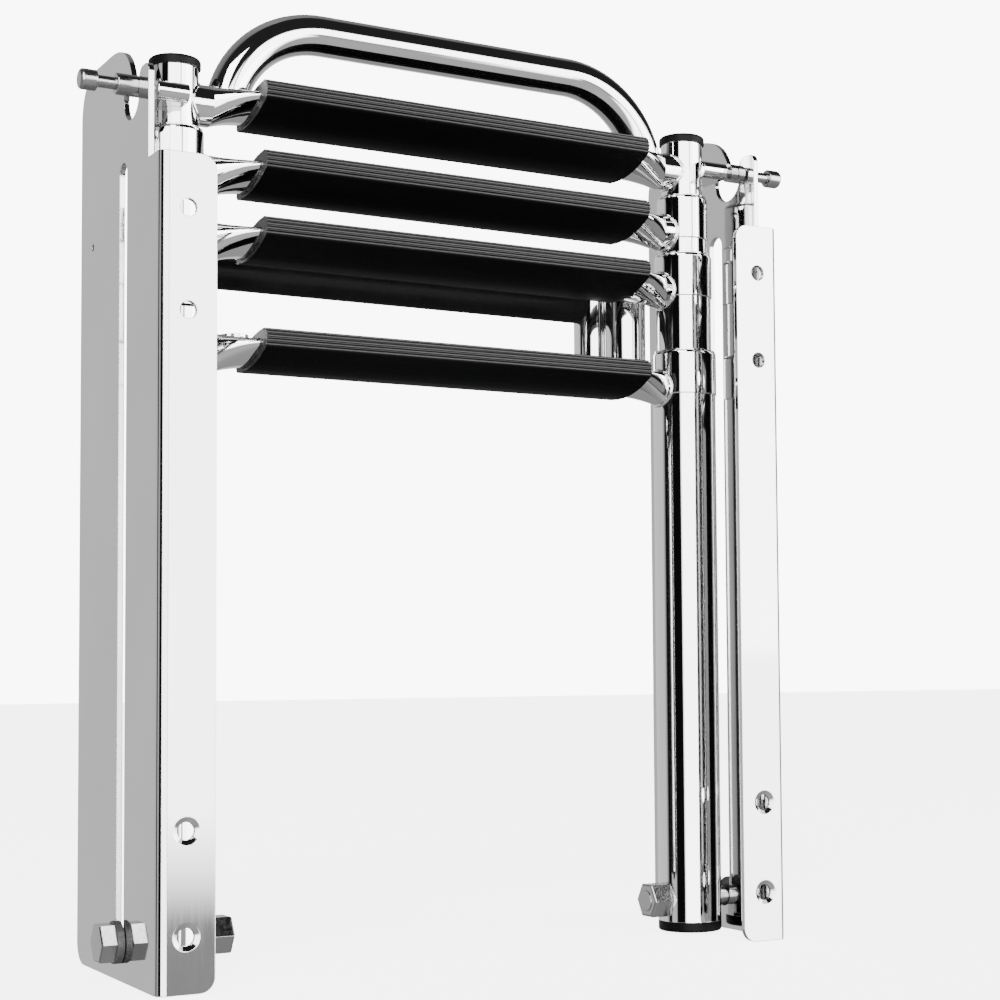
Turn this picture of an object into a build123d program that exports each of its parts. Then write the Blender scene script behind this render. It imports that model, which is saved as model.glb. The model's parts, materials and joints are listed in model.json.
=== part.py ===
from build123d import *
from math import acos, cos, radians, sin
import os

os.makedirs("parts", exist_ok=True)

# Frame: +Z up the rails, +Y away from the mounting face, X across.
# The pieces are drawn about the plane midway between the rails, with Z from the rails' foot.
# They are saved with the origin on the left rail's mounting face, midway along its flange.

# Rails, each a bent sheet with a mounting flange and a slotted web.
rail_width = 380.0
rail_length = 420.0
rail_sheet = 3.0
flange_width = 30.0
web_depth = 138.0
bend_radius = 5.0
corner_radius = 12.0
flange_corner = 8.0
hole_radius = 4.5
sink_radius = 7.0
sink_depth = 1.2
hole_low = 28.0
hole_pitch = 52.0
small_hole = 2.0
small_hole_edge = 23.0
small_hole_drop = 28.0

# Slots and the bolts that ride in them.
axis_y = 60.5
slot_gap = 0.5
bolt_radius = 6.0
bolt_z = 20.0
head_across = 19.0
head_height = 8.0
washer_radius = 11.0
washer_thick = 4.0
nut_height = 12.0
face_gap = 0.3
running_gap = 0.05

# Stile tubes, from the inner stage to the outer one.
stile_gap = 5.0
inner_radius = 12.7
tube_wall = 1.6
tube_gap = 0.5
socket_lip = 0.7

# Rungs and treads.
rung_radius = 11.1
rung_rise = 1.0
rung_steps = [38.0, 36.0, 60.0]
socket_rise = 23.0
socket_drop = 4.0
top_rise = 18.0
press_long = 17.0
press_short = 5.0
press_shift = 4.0
press_run = 22.0
press_swell = 0.6
tread_inset = 29.0
tread_tilt = 15.0
tread_front = 30.0
tread_back = 19.0
nose_radius = 6.0
tread_belly = 7.4
lip_radius = 2.6
rib_count = 5
rib_step = 22.0
rib_first = 140.0
rib_radius = 0.9
seam_width = 2.0
tread_gap = 0.2

# Ends.
outer_foot = 7.0
plug_height = 6.0
nest_step = 6.0
nest_foot = 40.0
cap_height = 5.0
cap_lip = 1.2

# Pull handle.
handle_radius = 11.1
handle_gap = 2.5
handle_rise = 49.0
handle_bend = 56.0

# Retaining pins at the heads of the rails.
pin_y = 40.0
pin_rise = 42.0
pin_radius = 3.2
barrel_radius = 5.6
barrel_out = 11.0
barrel_in = 5.0
knob_radius = 5.4
knob_length = 9.0
pin_show = 10.0
pin_tip = 1.5
seat_gap = 0.2
boss_radius = 5.0

# Heads of the rails.
tab_y = 19.0
tab_rise = 8.0
tab_corner = 5.0
horn_rise = 28.0
horn_y = 95.0
shoulder_rise = 3.0
pocket_radius = 13.0
pocket_drop = 2.5
pocket_turn = 15.0

# Stand-off brackets and the bumper bar between them.
bumper_radius = 9.0
bumper_out = 61.5
bumper_rise = 57.0
bumper_end = 1.5
post_radius = 12.7
post_step = 28.0
post_spread = 6.0
post_over = 3.0
foot_sheet = 5.0
foot_seat = 6.0
foot_nose = 7.0

# Worked out from the values above.
half = rail_width / 2
inner_face = half - rail_sheet
tube_radii = [inner_radius]
for _ in range(3):
    tube_radii.append(tube_radii[-1] + tube_gap + tube_wall)
socket_radii = [radius + socket_lip for radius in tube_radii]
stile_x = inner_face - stile_gap - socket_radii[3]
tread_half = stile_x - inner_radius - tread_inset
handle_half = tread_half + handle_gap + handle_radius
slide_travel = rail_length - bolt_z
pin_z = rail_length + pin_rise
tab_top = pin_z + tab_rise
horn_top = pin_z + horn_rise
horn_shoulder = pin_z + shoulder_rise
rung_z = [pin_z + rung_rise]
for step in rung_steps:
    rung_z.append(rung_z[-1] - step)
stile_tops = [z + socket_rise for z in rung_z]
stile_tops[0] = rung_z[0] + top_rise
handle_top = rung_z[0] + handle_rise
handle_turn = acos(1 - handle_rise / handle_bend)
handle_flat = handle_half - handle_bend * sin(handle_turn)
bumper_y = axis_y + bumper_out
bumper_z = rung_z[3] + bumper_rise
hole_zs = [
    hole_low,
    hole_low + hole_pitch,
    rail_length - hole_low - hole_pitch,
    rail_length - hole_low,
]
slot_half = bolt_radius + slot_gap
pin_seat = barrel_radius + seat_gap
tab_far = pin_y - pin_seat
tip_y = pin_y + pin_seat


def rod_x(radius, low, high, y, z):
    """A round bar along X between two X values."""
    bar = Cylinder(radius, high - low, rotation=(0, 90, 0))
    return Pos((low + high) / 2, y, z) * bar


def rod_z(radius, low, high, x, y):
    """A round bar along Z between two heights."""
    bar = Cylinder(radius, high - low)
    return Pos(x, y, (low + high) / 2) * bar


def plate_yz(outline, low_x, high_x):
    """A plate square to X from a closed outline of (y, z) lines."""
    face = make_face(outline)
    return extrude(Plane.YZ.offset(low_x) * face, high_x - low_x)


def web_outline():
    """Side view of a rail's web, with its head of tab, pocket and horn."""
    far = web_depth
    pocket_y = tab_far + pocket_radius
    pocket_z = pin_z - pocket_drop
    turn = radians(pocket_turn)
    pocket_back = (pocket_y + pocket_radius * cos(turn), pocket_z + pocket_radius * sin(turn))
    foot = Line((bend_radius, 0), (far - corner_radius, 0))
    heel = RadiusArc((far - corner_radius, 0), (far, corner_radius), -corner_radius)
    back = Line((far, corner_radius), (far, horn_shoulder))
    crown = Spline(
        (far, horn_shoulder),
        (horn_y, horn_top),
        (tip_y, pin_z + barrel_radius),
        tangents=[(0, 1), (-1, 0), (-0.35, -1)],
    )
    tip = Line((tip_y, pin_z + barrel_radius), (tip_y, pin_z))
    under = Line((tip_y, pin_z), pocket_back)
    pocket = ThreePointArc(pocket_back, (pocket_y, pocket_z - pocket_radius), (tab_far, pocket_z))
    round_z = tab_top - tab_corner
    tab_side = Line((tab_far, pocket_z), (tab_far, round_z))
    tab_back = RadiusArc((tab_far, round_z), (tab_far - tab_corner, tab_top), -tab_corner)
    tab_head = Line((tab_far - tab_corner, tab_top), (tab_y + tab_corner, tab_top))
    tab_fore = RadiusArc((tab_y + tab_corner, tab_top), (tab_y, round_z), -tab_corner)
    tab_front = Line((tab_y, round_z), (tab_y, rail_length))
    ledge = Line((tab_y, rail_length), (bend_radius, rail_length))
    front = Line((bend_radius, rail_length), (bend_radius, 0))
    return [
        foot, heel, back, crown, tip, under, pocket, tab_side,
        tab_back, tab_head, tab_fore, tab_front, ledge, front,
    ]


def make_rail():
    """The right-hand rail."""
    web = plate_yz(web_outline(), inner_face, half)
    fold_x = half - bend_radius
    flange = Pos(half - flange_width, 0, 0) * Box(
        flange_width - bend_radius, rail_sheet, rail_length, align=(Align.MIN,) * 3
    )
    free = flange.edges().filter_by(Axis.Y).sort_by(Axis.X)[:2]
    flange = fillet(free, flange_corner)
    outer = Pos(fold_x, bend_radius, 0) * Cylinder(
        bend_radius, rail_length, align=(Align.CENTER, Align.CENTER, Align.MIN)
    )
    inner = Pos(fold_x, bend_radius, 0) * Cylinder(
        bend_radius - rail_sheet, rail_length, align=(Align.CENTER, Align.CENTER, Align.MIN)
    )
    quarter = Pos(fold_x, 0, 0) * Box(
        bend_radius, bend_radius, rail_length, align=(Align.MIN,) * 3
    )
    fold = (outer - inner) & quarter
    rail = web + fold + flange
    slot_low = rod_x(slot_half, inner_face - 1, half + 1, axis_y, bolt_z)
    slot_high = rod_x(slot_half, inner_face - 1, half + 1, axis_y, bolt_z + slide_travel)
    slot_mid = Pos(half, axis_y, bolt_z + slide_travel / 2) * Box(
        4 * rail_sheet, 2 * slot_half, slide_travel
    )
    rail -= slot_low + slot_high + slot_mid
    hole_x = half - flange_width / 2
    for index, z in enumerate(hole_zs):
        rail -= Pos(hole_x, 0, z) * Cylinder(hole_radius, 4 * rail_sheet, rotation=(90, 0, 0))
        if index < 2:
            sink = Cone(hole_radius, sink_radius, sink_depth, rotation=(90, 0, 0))
            rail -= Pos(hole_x, sink_depth / 2, z) * sink
    small_y = web_depth - small_hole_edge
    small_z = rail_length - small_hole_drop
    return rail - rod_x(small_hole, inner_face - 1, half + 1, small_y, small_z)


def make_bolt():
    """Hex bolt through the slot and the foot of the outer tube."""
    head_low = half + face_gap + washer_thick
    shank_end = stile_x - socket_radii[3] - nut_height
    head = extrude(
        Plane.YZ.offset(head_low) * RegularPolygon(head_across / 2, 6, major_radius=False),
        head_height,
    )
    head = Pos(0, axis_y, bolt_z) * head
    rim = head.edges().group_by(Axis.X)[-1]
    head = chamfer(rim, 0.8)
    return head + rod_x(bolt_radius, shank_end, head_low, axis_y, bolt_z)


def make_washer():
    """Thick washer between a bolt's head and the web."""
    low = half + face_gap
    ring = rod_x(washer_radius, low, low + washer_thick, axis_y, bolt_z)
    ring = fillet(ring.edges().group_by(Axis.X)[-1], 1.0)
    return ring - rod_x(bolt_radius, low - 1, low + washer_thick + 1, axis_y, bolt_z)


def make_nut():
    """Lock nut against the inner side of the outer tube."""
    high = stile_x - tube_radii[3] - face_gap
    body = extrude(
        Plane.YZ.offset(high - nut_height) * RegularPolygon(head_across / 2, 6, major_radius=False),
        nut_height,
    )
    nut = Pos(0, axis_y, bolt_z) * body
    nut = fillet(nut.edges().group_by(Axis.X)[0], 1.5)
    return nut - rod_x(bolt_radius, high - nut_height - 1, high + 1, axis_y, bolt_z)


def make_stile(stage):
    """Right-hand tube of a stage with the socket that its rung is welded to."""
    radius = tube_radii[stage]
    socket = socket_radii[stage]
    foot = outer_foot if stage == 3 else nest_foot + nest_step * (2 - stage)
    base = rung_z[stage] - socket_drop
    top = stile_tops[stage]
    tube = rod_z(radius, foot, top, stile_x, axis_y)
    if stage:
        sleeve = rod_z(socket, base, top, stile_x, axis_y)
        sleeve = fillet(sleeve.edges().group_by(Axis.Z)[-1], 2.4)
        sleeve = fillet(sleeve.edges().group_by(Axis.Z)[0], 0.5)
        tube += sleeve
    tube -= rod_z(radius - tube_wall, foot - 1, top + 1, stile_x, axis_y)
    if stage == 3:
        reach = socket + 1
        tube -= rod_x(bolt_radius + running_gap, stile_x - reach, stile_x + reach, axis_y, bolt_z)
    return tube


def make_boss():
    """Lug on the inner tube's side, opposite the retaining pin."""
    high = inner_face - barrel_in - pin_tip - 1.0
    near = Pos(pin_y, pin_z) * Circle(boss_radius)
    far = Pos(axis_y, pin_z) * Circle(boss_radius)
    outline = make_hull((near + far).edges())
    boss = extrude(Plane.YZ.offset(stile_x) * outline, high - stile_x)
    boss = fillet(boss.edges().group_by(Axis.X)[-1], 0.8)
    reach = 2 * boss_radius
    return boss - rod_z(inner_radius - tube_wall / 2, pin_z - reach, pin_z + reach, stile_x, axis_y)


def make_cap():
    """Push-in cap on the inner tube."""
    top = stile_tops[0]
    rim = rod_z(inner_radius + cap_lip, top, top + cap_height, stile_x, axis_y)
    rim = fillet(rim.edges().group_by(Axis.Z)[-1], 2.0)
    spigot = rod_z(inner_radius - tube_wall - seat_gap, top - 4, top, stile_x, axis_y)
    return rim + spigot


def make_plug():
    """End plug in the foot of the outer tube."""
    rim = rod_z(tube_radii[3], outer_foot - plug_height, outer_foot, stile_x, axis_y)
    rim = fillet(rim.edges().group_by(Axis.Z)[0], 1.5)
    spigot = rod_z(tube_radii[3] - tube_wall - seat_gap, outer_foot, outer_foot + 5, stile_x, axis_y)
    return rim + spigot


def pressed_section(x, share=1.0):
    """Section of a rung, tilted like its tread: round at share 0 and pressed flat at share 1."""
    place = Plane.YZ.offset(x) * Rot(0, 0, -tread_tilt) * Pos(-press_shift * share, 0, 0)
    across = rung_radius + (press_long - rung_radius) * share
    thick = rung_radius + (press_short - rung_radius) * share
    return place * Ellipse(across, thick)


def make_rung(stage):
    """Round tube pressed flat between its ends, where the tread sits."""
    press_end = tread_half + 1
    round_start = press_end + press_run
    middle = extrude(pressed_section(-press_end), 2 * press_end)
    flare = loft([
        pressed_section(press_end),
        pressed_section(press_end + press_run / 2, press_swell),
        pressed_section(round_start, 0.001),
    ])
    neck = extrude(pressed_section(round_start, 0.001), stile_x - round_start)
    side = flare + neck
    rung = middle + side + mirror(side, Plane.YZ)
    rung = Pos(0, axis_y, rung_z[stage]) * rung
    low = rung_z[stage] - socket_drop
    for x in (-stile_x, stile_x):
        rung -= rod_z(tube_radii[stage], 0, 2 * rail_length, x, axis_y)
        if stage:
            rung -= rod_z(socket_radii[stage], low, stile_tops[stage], x, axis_y)
    return rung


def make_tread(stage):
    """Ribbed plastic tread clipped round the flat of a rung."""
    nose_u = nose_radius - tread_front
    tail_u = tread_back - lip_radius
    mid_u = (nose_u + tail_u) / 2
    upper = ThreePointArc((nose_u, nose_radius), (mid_u, tread_belly), (tail_u, lip_radius))
    tail = ThreePointArc((tail_u, lip_radius), (tread_back, 0), (tail_u, -lip_radius))
    lower = ThreePointArc((tail_u, -lip_radius), (mid_u, -tread_belly), (nose_u, -nose_radius))
    nose = ThreePointArc((nose_u, -nose_radius), (-tread_front, 0), (nose_u, nose_radius))
    face = make_face([upper, tail, lower, nose])
    for rib in range(rib_count):
        turn = radians(rib_first + rib_step * rib)
        u = nose_u + nose_radius * cos(turn)
        v = nose_radius * sin(turn)
        face -= Pos(u, v) * Circle(rib_radius)
    face -= Pos(-press_shift, 0) * Ellipse(press_long + tread_gap, press_short + tread_gap)
    face -= Pos(mid_u + 6, tread_belly) * Rectangle(seam_width, 2 * tread_belly)
    place = Plane.YZ.offset(-tread_half) * Rot(0, 0, -tread_tilt)
    tread = extrude(place * face, 2 * tread_half)
    return Pos(0, axis_y, rung_z[stage]) * tread


def make_handle():
    """Bent pull handle, coped onto the first rung."""
    low = rung_z[0]
    left = RadiusArc((-handle_half, low), (-handle_flat, handle_top), handle_bend)
    across = Line((-handle_flat, handle_top), (handle_flat, handle_top))
    right = RadiusArc((handle_flat, handle_top), (handle_half, low), handle_bend)
    path = Plane.XZ * Wire([left, across, right])
    bar = sweep(Plane(path @ 0, z_dir=path % 0) * Circle(handle_radius), path)
    bar = Pos(0, axis_y, 0) * bar
    bar -= make_rung(0)
    return bar.solids().sort_by(SortBy.VOLUME)[-1]


def make_bracket():
    """Stand-off bracket: a foot on the fourth rung and two tube posts."""
    rear_x = tread_half + bumper_end + post_radius
    front_x = rear_x + post_spread
    front_y = bumper_y - post_step
    foot_z = rung_z[3] + foot_seat
    top = bumper_z + bumper_radius + post_over
    near = Pos(rear_x - foot_nose, axis_y) * Circle(foot_nose)
    front = Pos(front_x, front_y) * Circle(post_radius)
    rear = Pos(rear_x, bumper_y) * Circle(post_radius)
    outline = make_hull((near + front).edges()) + make_hull((front + rear).edges())
    bracket = extrude(Plane.XY.offset(foot_z) * outline, foot_sheet)
    for x, y in ((rear_x, bumper_y), (front_x, front_y)):
        post = rod_z(post_radius, foot_z, top, x, y)
        bracket += fillet(post.edges().group_by(Axis.Z)[-1], post_over - 0.5)
    return bracket - make_rung(3)


def make_bumper():
    """Rubber-covered bar, coped onto the rear posts of the brackets."""
    reach = tread_half + bumper_end + post_radius
    bar = rod_x(bumper_radius, -reach, reach, bumper_y, bumper_z)
    for x in (-reach, reach):
        bar -= rod_z(post_radius, 0, 2 * rail_length, x, bumper_y)
    return bar


def make_barrel():
    """Guide of a retaining pin, held between the tab and the horn."""
    low = inner_face - barrel_in
    high = half + barrel_out
    barrel = rod_x(barrel_radius, low, high, pin_y, pin_z)
    barrel = fillet(barrel.edges().group_by(Axis.X)[-1], 0.8)
    return barrel - rod_x(pin_radius + running_gap, low - 1, high + 1, pin_y, pin_z)


def make_pin():
    """Retaining pin with its pull knob."""
    low = inner_face - barrel_in - pin_tip
    knob_low = half + barrel_out + pin_show
    knob = rod_x(knob_radius, knob_low, knob_low + knob_length, pin_y, pin_z)
    knob = fillet(knob.edges().group_by(Axis.X)[-1], 2.0)
    knob = fillet(knob.edges().group_by(Axis.X)[0], 0.8)
    return knob + rod_x(pin_radius, low, knob_low, pin_y, pin_z)


def save(name, shape):
    """One STEP file per piece, moved to the frame of the mounting face."""
    to_origin = Pos(half - flange_width / 2, 0, -rail_length / 2)
    export_step(to_origin * shape, os.path.join("parts", name + ".step"))


def save_pair(name, shape):
    """The right-hand piece and its mirror image."""
    save("right_" + name, shape)
    save("left_" + name, mirror(shape, Plane.YZ))


save_pair("rail", make_rail())
save_pair("pivot_bolt", make_bolt())
save_pair("slide_washer", make_washer())
save_pair("lock_nut", make_nut())
save_pair("inner_tube", make_stile(0) + make_boss())
save_pair("second_tube", make_stile(1))
save_pair("third_tube", make_stile(2))
save_pair("outer_tube", make_stile(3))
save_pair("tube_cap", make_cap())
save_pair("foot_plug", make_plug())
save_pair("standoff_bracket", make_bracket())
save_pair("pin_barrel", make_barrel())
save_pair("retaining_pin", make_pin())
for stage in range(4):
    save("rung_" + str(stage + 1), make_rung(stage))
    save("tread_" + str(stage + 1), make_tread(stage))
save("pull_handle", make_handle())
save("bumper_bar", make_bumper())
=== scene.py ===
import json
import math

import bmesh
import bpy
from mathutils import Matrix, Vector


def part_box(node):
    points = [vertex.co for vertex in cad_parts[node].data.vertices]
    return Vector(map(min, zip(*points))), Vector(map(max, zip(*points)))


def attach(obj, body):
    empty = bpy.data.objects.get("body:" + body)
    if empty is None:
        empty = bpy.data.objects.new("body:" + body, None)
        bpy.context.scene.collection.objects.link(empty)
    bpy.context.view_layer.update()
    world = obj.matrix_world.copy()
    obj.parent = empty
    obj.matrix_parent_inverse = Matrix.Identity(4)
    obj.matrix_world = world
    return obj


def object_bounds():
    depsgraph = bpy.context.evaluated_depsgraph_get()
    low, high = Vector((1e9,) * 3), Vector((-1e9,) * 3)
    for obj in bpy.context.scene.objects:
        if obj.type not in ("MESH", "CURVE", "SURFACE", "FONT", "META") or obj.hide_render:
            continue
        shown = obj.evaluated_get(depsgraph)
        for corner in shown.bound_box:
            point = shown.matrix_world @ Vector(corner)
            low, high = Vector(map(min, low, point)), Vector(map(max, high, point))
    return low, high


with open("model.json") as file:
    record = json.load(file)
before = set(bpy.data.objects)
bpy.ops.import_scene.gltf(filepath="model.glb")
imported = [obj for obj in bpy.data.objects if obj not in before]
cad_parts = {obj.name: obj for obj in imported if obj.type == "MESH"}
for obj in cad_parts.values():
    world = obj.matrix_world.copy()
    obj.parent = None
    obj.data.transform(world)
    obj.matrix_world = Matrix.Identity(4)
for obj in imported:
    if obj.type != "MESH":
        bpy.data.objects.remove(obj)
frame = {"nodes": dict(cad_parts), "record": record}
cad_low, cad_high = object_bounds()
nodes = frame["nodes"]

# Camera, in metres, degrees and pixels of the square picture.
PICTURE = 1000.0
SENSOR = 36.0
FOCAL_PIXELS = 1939.2
AXIS_PIXEL = (560.0, 560.0)
CAMERA_PLACE = (-0.3192, -0.9277, -0.0512)
CAMERA_YAW = 29.873
CAMERA_PITCH = 3.208
CAMERA_ROLL = -0.432
CLIP_START = 0.01
CLIP_END = 60.0

# Weld beads.
BEAD_RADIUS = 0.0009
BEAD_RIPPLE = 0.05
BEAD_WAVES = 22
BEAD_STEPS = 156
BEAD_SIDES = 10

# Floor, in metres and shares.
FLOOR_HALF = 9.0
FLOOR_GAP = 0.0005
FLOOR_SHADE = 0.86
FLOOR_CLOUDING = 0.02
FLOOR_CLOUD_SCALE = 1.2
FLOOR_ROUGHNESS = 0.9
FLOOR_GLOSS = 0.1
FLOOR_GLOW = 5.0

# Soft lights: offset from the ladder's middle and size in metres, and power in watts.
KEY_LIGHT = ((-1.2, -1.6, 1.6), 1.2, 45.0)
FILL_LIGHT = ((1.8, -1.4, 0.6), 1.4, 15.0)

# Surround that the steel mirrors. Tones are (degrees, brightness) round the studio, and a
# start and end are the heights of view between which one ring of tones fades into the next.
BACKDROP = 9.0
WALL_TONES = [
    (-180, 0.9), (-125, 0.85), (-112, 0.005), (-103, 0.005), (-99, 0.7), (-83, 0.7),
    (-79, 0.005), (-50, 0.005), (-44, 7.0), (9, 7.0), (11, 0.2), (13.5, 0.2), (16, 8.0),
    (50, 8.0), (72, 7.0), (78, 0.02), (84, 0.02), (86, 0.7), (94, 0.7), (96, 0.02),
    (104, 0.02), (110, 0.5), (150, 0.9), (180, 0.9),
]
ROOF_TONES = [(-180, 0.3), (-120, 0.2), (-100, 0.02), (100, 0.02), (120, 0.2), (180, 0.3)]
CARD_TONES = [(14, 0.42), (26, 0.42), (29, 8.0)]
CARD_START = CARD_TONES[0][0]
CARD_END = CARD_TONES[-1][0]
FOOT_TONES = sorted(
    [tone for tone in WALL_TONES if not CARD_START < tone[0] < CARD_END] + CARD_TONES
)
ROOF_START = 0.38
ROOF_END = 0.44
FOOT_START = -0.07
FOOT_END = -0.125
GROUND_TONES = [(-180, 0.3), (-90, 0.4), (0, 0.6), (90, 0.4), (180, 0.3)]
GROUND_START = -0.17
GROUND_END = -0.34

# Span of the noise that carries most of its variation.
NOISE_LOW = 0.3
NOISE_HIGH = 0.7

# Rounded edges.
EDGE_SAMPLES = 6
EDGE_BUMP = 1.0

# Steels: dark and light grey, range of roughness, stretch of the marks, and radius of edges.
CLOUD_SCALE = 14.0
MARK_SCALE = 90.0
MARK_DETAIL = 4.0
MARK_DEPTH = 0.000004
STEELS = {
    "tube_steel": (0.84, 0.89, (0.02, 0.05), (6.0, 6.0, 1.0), 0.0004),
    "rail_steel": (0.60, 0.64, (0.04, 0.07), (6.0, 6.0, 0.4), 0.0006),
    "fastener_steel": (0.34, 0.46, (0.14, 0.26), (4.0, 4.0, 4.0), 0.0005),
}

# Plastics: dark and light grey, range of roughness, depth of the grain, and radius of edges.
RUBBER = (0.003, 0.006, (0.38, 0.52), 0.00003, 0.0005)
RUBBER_GLOSS = 0.08
RUBBER_GRAIN = 900.0
RUBBER_CLOUDS = 30.0
TREAD = (0.002, 0.004, (0.38, 0.52), 0.00002, 0.0004)
TREAD_LINES = 60.0
TREAD_LINE_DETAIL = 4.0
TREAD_LINE_STRETCH = (0.05, 14.0, 14.0)
TREAD_CLOUDS = 9.0
TREAD_CLOUD_STRETCH = (0.6, 3.0, 3.0)
WASHER = (0.035, 0.055, (0.35, 0.5), 0.00002, 0.0006)
WASHER_GRAIN = 700.0
WASHER_CLOUDS = 60.0
GRAIN_DETAIL = 2.0

# Painted sheen and shade of a tread, (share, level) from faces that look down to faces that
# look up: low levels paint the faces that look down or up darker, high levels paint sheen on
# the faces between.
TREAD_PAINTED_SHEEN = [(0.0, 0.01), (0.12, 0.02), (0.2, 0.6), (0.74, 0.6), (0.84, 0.03), (1.0, 0.02)]


def make_material(name):
    """An empty node material with its shader and output."""
    material = bpy.data.materials.new(name)
    material.use_nodes = True
    shader = material.node_tree.nodes["Principled BSDF"]
    return material, material.node_tree, shader


def add_node(tree, kind, **settings):
    """A node with its settings and, by number or name, its inputs."""
    node = tree.nodes.new(kind)
    for key, value in settings.items():
        if key == "inputs":
            for socket, content in value.items():
                node.inputs[socket].default_value = content
        else:
            setattr(node, key, value)
    return node


def noise_at(tree, scale, detail=3.0, stretch=(1.0, 1.0, 1.0)):
    """Noise over object coordinates, stretched along the axes."""
    place = add_node(tree, "ShaderNodeTexCoord")
    spread = add_node(tree, "ShaderNodeMapping", inputs={"Scale": stretch})
    noise = add_node(tree, "ShaderNodeTexNoise", inputs={"Scale": scale, "Detail": detail})
    tree.links.new(place.outputs["Object"], spread.inputs["Vector"])
    tree.links.new(spread.outputs["Vector"], noise.inputs["Vector"])
    return noise.outputs["Fac"]


def map_range(tree, source, start, end, low=0.0, high=1.0):
    """The source between start and end mapped to the range from low to high."""
    node = add_node(
        tree,
        "ShaderNodeMapRange",
        inputs={"From Min": start, "From Max": end, "To Min": low, "To Max": high},
    )
    tree.links.new(source, node.inputs["Value"])
    return node.outputs["Result"]


def grey_ramp(tree, source, stops):
    """Greys by the source, through stops of (position, value)."""
    node = add_node(tree, "ShaderNodeValToRGB")
    elements = node.color_ramp.elements
    while len(elements) > 1:
        elements.remove(elements[-1])
    elements[0].position, value = stops[0]
    elements[0].color = (value, value, value, 1.0)
    for position, value in stops[1:]:
        element = elements.new(position)
        element.color = (value, value, value, 1.0)
    tree.links.new(source, node.inputs["Fac"])
    return node.outputs["Color"]


def grain_range(tree, noise, low, high):
    """The main span of a noise mapped to the range from low to high."""
    return map_range(tree, noise, NOISE_LOW, NOISE_HIGH, low, high)


def clouded_grey(tree, noise, dark, light):
    """A grey that clouds between dark and light with a noise."""
    return grey_ramp(tree, noise, [(NOISE_LOW, dark), (NOISE_HIGH, light)])


def soft_edges(tree, shader, source, depth, radius):
    """Bump from the source over edges that are rounded by a radius."""
    bevel = add_node(tree, "ShaderNodeBevel", samples=EDGE_SAMPLES, inputs={"Radius": radius})
    bump = add_node(tree, "ShaderNodeBump", inputs={"Strength": EDGE_BUMP, "Distance": depth})
    tree.links.new(source, bump.inputs["Height"])
    tree.links.new(bevel.outputs["Normal"], bump.inputs["Normal"])
    tree.links.new(bump.outputs["Normal"], shader.inputs["Normal"])


def polished_steel(name):
    """Polished stainless steel with faint polishing marks and clouding."""
    dark, light, rough, grain, edge = STEELS[name]
    material, tree, shader = make_material(name)
    shader.inputs["Metallic"].default_value = 1.0
    clouds = noise_at(tree, CLOUD_SCALE)
    marks = noise_at(tree, MARK_SCALE, MARK_DETAIL, grain)
    tree.links.new(clouded_grey(tree, clouds, dark, light), shader.inputs["Base Color"])
    tree.links.new(grain_range(tree, marks, *rough), shader.inputs["Roughness"])
    soft_edges(tree, shader, marks, MARK_DEPTH, edge)
    return material


def dress_plastic(tree, shader, values, clouds, patches, grain):
    """Clouded grey, roughness in patches and fine grain over soft edges."""
    dark, light, rough, depth, edge = values
    tree.links.new(clouded_grey(tree, clouds, dark, light), shader.inputs["Base Color"])
    tree.links.new(grain_range(tree, patches, *rough), shader.inputs["Roughness"])
    soft_edges(tree, shader, grain, depth, edge)


def rubber(name):
    """Black moulded rubber with a fine grain."""
    material, tree, shader = make_material(name)
    grain = noise_at(tree, RUBBER_GRAIN, GRAIN_DETAIL)
    clouds = noise_at(tree, RUBBER_CLOUDS)
    shader.inputs["Specular IOR Level"].default_value = RUBBER_GLOSS
    dress_plastic(tree, shader, RUBBER, clouds, clouds, grain)
    return material


def painted_sheen_by_facing(tree, shader, stops):
    """Painted sheen and shade: a specular level that follows how far the object's own faces
    look upwards.
    """
    place = add_node(tree, "ShaderNodeTexCoord")
    parts = add_node(tree, "ShaderNodeSeparateXYZ")
    tree.links.new(place.outputs["Normal"], parts.inputs["Vector"])
    upwards = map_range(tree, parts.outputs["Z"], -1.0, 1.0)
    # Painted sheen and shade: the specular level comes from which way each face looks, not
    # from the plastic.
    level = grey_ramp(tree, upwards, stops)
    tree.links.new(level, shader.inputs["Specular IOR Level"])


def tread_plastic(name):
    """Black extruded plastic with painted sheen on its ribbed nose and painted shade on faces
    that look down or up, with faint drawing lines.
    """
    material, tree, shader = make_material(name)
    lines = noise_at(tree, TREAD_LINES, TREAD_LINE_DETAIL, TREAD_LINE_STRETCH)
    clouds = noise_at(tree, TREAD_CLOUDS, stretch=TREAD_CLOUD_STRETCH)
    # Painted sheen and shade: the specular level is set by which way each face looks.
    painted_sheen_by_facing(tree, shader, TREAD_PAINTED_SHEEN)
    dress_plastic(tree, shader, TREAD, clouds, lines, lines)
    return material


def washer_plastic(name):
    """Grey moulded washer."""
    material, tree, shader = make_material(name)
    grain = noise_at(tree, WASHER_GRAIN, GRAIN_DETAIL)
    clouds = noise_at(tree, WASHER_CLOUDS)
    dress_plastic(tree, shader, WASHER, clouds, clouds, grain)
    return material


def dress(finishes):
    """Each CAD node takes the finish of its material slot."""
    for entry in frame["record"]["subparts"]:
        mesh = nodes[entry["node"]].data
        mesh.materials.clear()
        mesh.materials.append(finishes[entry["material_slot"]])


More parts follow.
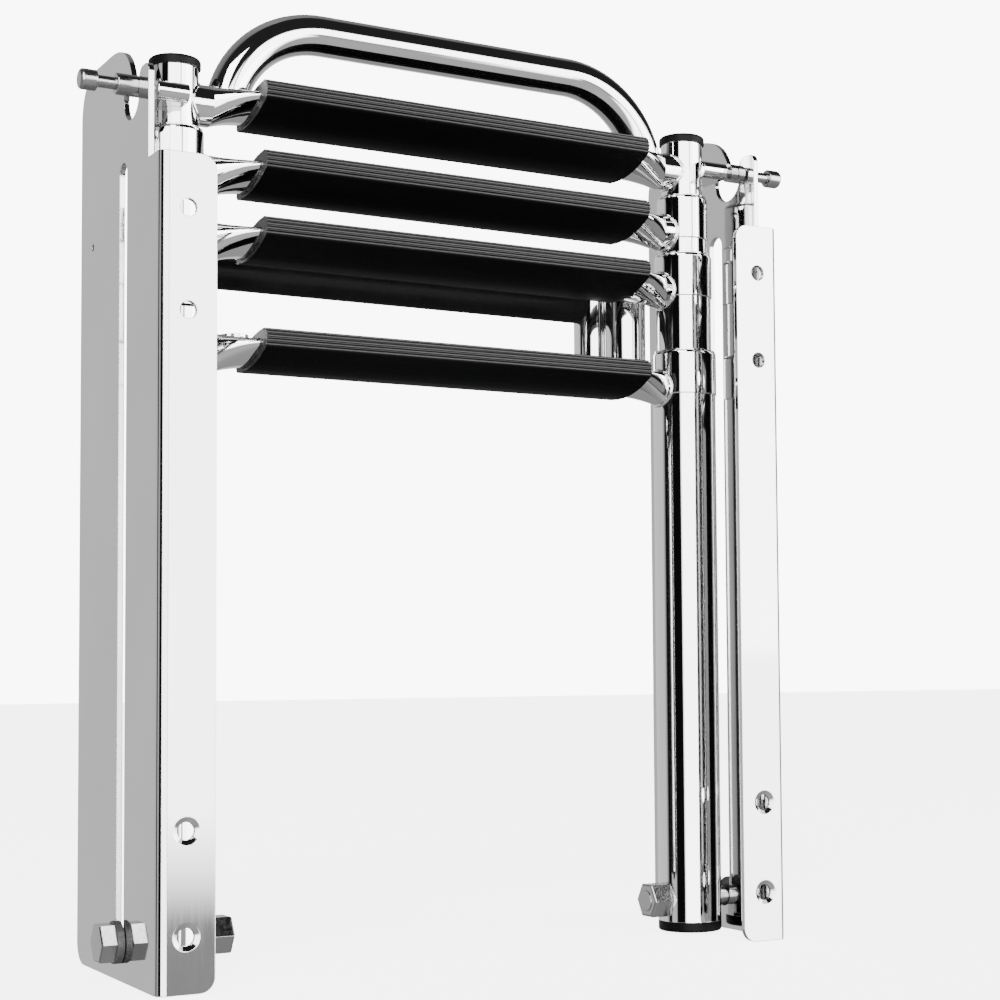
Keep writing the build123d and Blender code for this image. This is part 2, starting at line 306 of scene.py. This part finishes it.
def loop_tube(name, path, radius):
    """A closed rippled tube round a path of points, as a mesh."""
    shape = bmesh.new()
    rings = []
    count = len(path)
    for index, point in enumerate(path):
        ahead = path[(index + 1) % count] - path[index - 1]
        along = ahead.normalized()
        side = along.cross(Vector((1.0, 0.0, 0.0))).normalized()
        lift = side.cross(along)
        turn = 2 * math.pi * BEAD_WAVES * index / count
        size = radius * (1 + BEAD_RIPPLE * math.sin(turn))
        ring = []
        for step in range(BEAD_SIDES):
            angle = 2 * math.pi * step / BEAD_SIDES
            offset = side * math.cos(angle) + lift * math.sin(angle)
            ring.append(shape.verts.new(point + offset * size))
        rings.append(ring)
    for index, ring in enumerate(rings):
        after = rings[(index + 1) % count]
        for step in range(BEAD_SIDES):
            following = (step + 1) % BEAD_SIDES
            shape.faces.new((ring[step], ring[following], after[following], after[step]))
    mesh = bpy.data.meshes.new(name)
    shape.to_mesh(mesh)
    shape.free()
    mesh.polygons.foreach_set("use_smooth", [True] * len(mesh.polygons))
    piece = bpy.data.objects.new(name, mesh)
    bpy.context.scene.collection.objects.link(piece)
    return piece


def weld_bead(name, side, word, tube, rung, body, finish):
    """The weld where a rung meets a stile's socket."""
    stile_low, stile_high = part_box(word + "_outer_tube")
    stile = (stile_low + stile_high) / 2
    tube_low, tube_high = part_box(tube)
    rung_low, rung_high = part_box(rung)
    socket = stile.x - tube_low.x if side > 0 else tube_high.x - stile.x
    height = (rung_low.z + rung_high.z) / 2
    neck = (rung_high.z - rung_low.z) / 2
    path = []
    for step in range(BEAD_STEPS):
        angle = 2 * math.pi * step / BEAD_STEPS
        y = neck * math.cos(angle)
        reach = math.sqrt(socket * socket - y * y)
        x = stile.x - side * reach
        path.append(Vector((x, stile.y + y, height + neck * math.sin(angle))))
    piece = loop_tube(name, path, BEAD_RADIUS)
    piece.data.materials.append(finish)
    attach(piece, body)


def add_welds(finish):
    """Weld beads at both ends of every rung."""
    stages = ("inner", "second", "third", "outer")
    for index, stage in enumerate(stages):
        rung = "rung_" + str(index + 1)
        for side, word in ((-1, "left"), (1, "right")):
            name = word + "_weld_" + str(index + 1)
            tube = word + "_" + stage + "_tube"
            weld_bead(name, side, word, tube, rung, stage + "_stage", finish)


def floor_paper():
    """Pale paper for the camera that the steel doesn't mirror."""
    material, tree, shader = make_material("floor_paper")
    clouds = noise_at(tree, FLOOR_CLOUD_SCALE)
    paper = clouded_grey(tree, clouds, FLOOR_SHADE, FLOOR_SHADE + FLOOR_CLOUDING)
    tree.links.new(paper, shader.inputs["Base Color"])
    shader.inputs["Roughness"].default_value = FLOOR_ROUGHNESS
    shader.inputs["Specular IOR Level"].default_value = FLOOR_GLOSS
    shader.inputs["Emission Color"].default_value = (1.0, 1.0, 1.0, 1.0)
    shader.inputs["Emission Strength"].default_value = FLOOR_GLOW
    clear = add_node(tree, "ShaderNodeBsdfTransparent")
    rays = add_node(tree, "ShaderNodeLightPath")
    choice = add_node(tree, "ShaderNodeMixShader")
    tree.links.new(rays.outputs["Is Camera Ray"], choice.inputs[0])
    tree.links.new(clear.outputs["BSDF"], choice.inputs[1])
    tree.links.new(shader.outputs["BSDF"], choice.inputs[2])
    output = tree.nodes["Material Output"]
    tree.links.new(choice.outputs["Shader"], output.inputs["Surface"])
    return material


def add_floor():
    """A plain pale floor under the rails' feet."""
    mesh = bpy.data.meshes.new("floor")
    corners = [(-1, -1), (1, -1), (1, 1), (-1, 1)]
    level = cad_low.z - FLOOR_GAP
    points = [(x * FLOOR_HALF, y * FLOOR_HALF, level) for x, y in corners]
    mesh.from_pydata(points, [], [(0, 1, 2, 3)])
    floor = bpy.data.objects.new("floor", mesh)
    bpy.context.scene.collection.objects.link(floor)
    mesh.materials.append(floor_paper())


def tones_by_height(tree, height, start, end, below, above):
    """One colour that fades into another between two heights of the view."""
    share = map_range(tree, height, start, end)
    joined = add_node(tree, "ShaderNodeMix", data_type="RGBA")
    tree.links.new(share, joined.inputs["Factor"])
    tree.links.new(below, joined.inputs["A"])
    tree.links.new(above, joined.inputs["B"])
    return joined.outputs["Result"]


def ring_of_tones(tree, share, tones):
    """Grey tones round the studio, by degrees from the front towards the right."""
    return grey_ramp(tree, share, [((angle + 180) / 360, value) for angle, value in tones])


def view_angle(tree, parts):
    """Share of a turn from the back, by the left, front and right, to the back."""
    flip = add_node(tree, "ShaderNodeMath", operation="MULTIPLY", inputs={1: -1.0})
    tree.links.new(parts.outputs["Y"], flip.inputs[0])
    turn = add_node(tree, "ShaderNodeMath", operation="ARCTAN2")
    tree.links.new(parts.outputs["X"], turn.inputs[0])
    tree.links.new(flip.outputs[0], turn.inputs[1])
    return map_range(tree, turn.outputs[0], -math.pi, math.pi)


def add_world():
    """A white studio whose walls hold grey and black panels for the steel to mirror."""
    world = bpy.data.worlds.new("studio")
    bpy.context.scene.world = world
    world.use_nodes = True
    tree = world.node_tree
    background = tree.nodes["Background"]
    place = add_node(tree, "ShaderNodeTexCoord")
    parts = add_node(tree, "ShaderNodeSeparateXYZ")
    tree.links.new(place.outputs["Generated"], parts.inputs["Vector"])
    share = view_angle(tree, parts)
    height = parts.outputs["Z"]
    walls = ring_of_tones(tree, share, WALL_TONES)
    roof = ring_of_tones(tree, share, ROOF_TONES)
    foot = ring_of_tones(tree, share, FOOT_TONES)
    ground = ring_of_tones(tree, share, GROUND_TONES)
    upper = tones_by_height(tree, height, ROOF_START, ROOF_END, walls, roof)
    lower = tones_by_height(tree, height, FOOT_START, FOOT_END, upper, foot)
    joined = tones_by_height(tree, height, GROUND_START, GROUND_END, lower, ground)
    rays = add_node(tree, "ShaderNodeLightPath")
    seen = add_node(tree, "ShaderNodeMix", data_type="RGBA")
    seen.inputs["B"].default_value = (BACKDROP, BACKDROP, BACKDROP, 1.0)
    tree.links.new(rays.outputs["Is Camera Ray"], seen.inputs["Factor"])
    tree.links.new(joined, seen.inputs["A"])
    tree.links.new(seen.outputs["Result"], background.inputs["Color"])
    background.inputs["Strength"].default_value = 1.0


def add_light(name, target, offset, size, power):
    """A soft square light, offset from the target that it points at."""
    data = bpy.data.lights.new(name, "AREA")
    data.size = size
    data.energy = power
    light = bpy.data.objects.new(name, data)
    light.location = target + Vector(offset)
    aim = target - light.location
    light.rotation_mode = "QUATERNION"
    light.rotation_quaternion = aim.to_track_quat("-Z", "Y")
    bpy.context.scene.collection.objects.link(light)


def add_lights():
    """Key light above and to the left, fill light from the right."""
    middle = (cad_low + cad_high) / 2
    add_light("key", middle, *KEY_LIGHT)
    add_light("fill", middle, *FILL_LIGHT)


def add_camera():
    """The camera at the photograph's viewing angle."""
    data = bpy.data.cameras.new("camera")
    data.sensor_width = SENSOR
    data.lens = FOCAL_PIXELS * SENSOR / PICTURE
    data.shift_x = 0.5 - AXIS_PIXEL[0] / PICTURE
    data.shift_y = AXIS_PIXEL[1] / PICTURE - 0.5
    data.clip_start = CLIP_START
    data.clip_end = CLIP_END
    camera = bpy.data.objects.new("camera", data)
    bpy.context.scene.collection.objects.link(camera)
    yaw = math.radians(CAMERA_YAW)
    pitch = math.radians(CAMERA_PITCH)
    roll = math.radians(CAMERA_ROLL)
    flat = math.cos(pitch)
    ahead = Vector((math.sin(yaw) * flat, math.cos(yaw) * flat, math.sin(pitch)))
    level = Vector((math.cos(yaw), -math.sin(yaw), 0.0))
    above = level.cross(ahead)
    right = level * math.cos(roll) + above * math.sin(roll)
    up = above * math.cos(roll) - level * math.sin(roll)
    turned = Matrix((right, up, -ahead)).transposed()
    camera.matrix_world = Matrix.Translation(CAMERA_PLACE) @ turned.to_4x4()
    bpy.context.scene.camera = camera


finishes = {name: polished_steel(name) for name in STEELS}
finishes["washer_plastic"] = washer_plastic("washer_plastic")
finishes["plug_rubber"] = rubber("plug_rubber")
finishes["tread_plastic"] = tread_plastic("tread_plastic")
dress(finishes)
add_welds(finishes["tube_steel"])
add_floor()
add_world()
add_lights()
add_camera()
